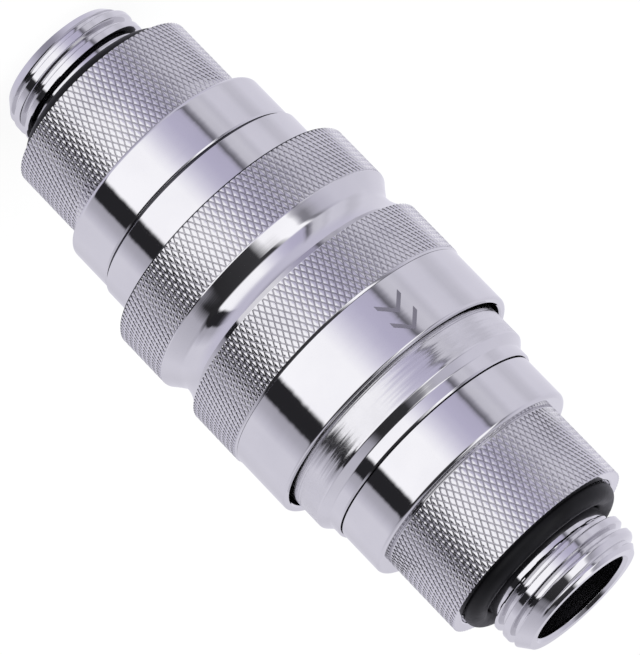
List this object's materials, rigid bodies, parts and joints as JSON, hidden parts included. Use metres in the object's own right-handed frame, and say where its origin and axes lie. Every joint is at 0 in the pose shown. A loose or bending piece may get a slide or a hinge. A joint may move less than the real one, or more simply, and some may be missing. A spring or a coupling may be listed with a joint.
{
  "type": "liquid cooling quick coupling",
  "caption": "Two-part quick coupling for a cooling hose loop: a threaded socket with a knurled sliding release sleeve, and a threaded plug, each with its own shut-off valve.",
  "frame": {"origin": "centre of the socket's threaded end face, on which the coupling stands", "axes": "+Z along the common axis, from the socket's threaded end towards the plug's threaded end; the picture is taken from the -Y side"},
  "size_m": [0.0247, 0.0246, 0.0636],
  "materials": {
    "chromed_brass": "polished bright plating on turned brass",
    "satin_brass": "satin plating with turning marks",
    "bare_brass": "turned",
    "hardened_steel": "ground and polished",
    "spring_steel": "drawn wire and stamped strip",
    "black_rubber": "matte moulded"
  },
  "bodies": {
    "socket": {"socket_body": "chromed_brass", "socket_end_fitting": "chromed_brass", "socket_thread_seal": "black_rubber", "socket_joint_seal": "black_rubber", "nose_seal": "black_rubber", "locking_balls": "hardened_steel", "sleeve_spring": "spring_steel", "spring_washer": "spring_steel", "sleeve_snap_ring": "spring_steel", "socket_valve_guide": "bare_brass", "socket_guide_clip": "spring_steel", "socket_valve_spring": "spring_steel"},
    "sleeve": {"locking_sleeve": "chromed_brass"},
    "plug": {"plug_body": "satin_brass", "plug_end_fitting": "chromed_brass", "plug_thread_seal": "black_rubber", "plug_joint_seal": "black_rubber", "plug_valve_guide": "bare_brass", "plug_guide_clip": "spring_steel", "plug_valve_spring": "spring_steel"},
    "socket_valve": {"socket_poppet": "bare_brass", "socket_poppet_seal": "black_rubber"},
    "plug_valve": {"plug_poppet": "bare_brass", "plug_poppet_seal": "black_rubber"}
  },
  "joints": [
    {"name": "sleeve_slide", "type": "slide", "parent": "socket", "child": "sleeve", "axis": [0, 0, 1], "range_m": [0, 0.003], "stiffness_N_per_m": 1500, "springref_m": -0.004, "deforming": ["sleeve_spring", "locking_balls"]},
    {"name": "plug_slide", "type": "slide", "parent": "socket", "child": "plug", "axis": [0, 0, 1], "range_m": [0, 0.024], "deforming": ["locking_balls"]},
    {"name": "socket_valve_slide", "type": "slide", "parent": "socket", "child": "socket_valve", "axis": [0, 0, 1], "range_m": [0, 0.002], "deforming": ["socket_valve_spring"]},
    {"name": "plug_valve_slide", "type": "slide", "parent": "plug", "child": "plug_valve", "axis": [0, 0, -1], "range_m": [0, 0.002], "deforming": ["plug_valve_spring"]}
  ],
  "couplings": [
    {"joint": "socket_valve_slide", "follows": "plug_slide", "ratio": 0.083333},
    {"joint": "plug_valve_slide", "follows": "plug_slide", "ratio": 0.083333}
  ]
}
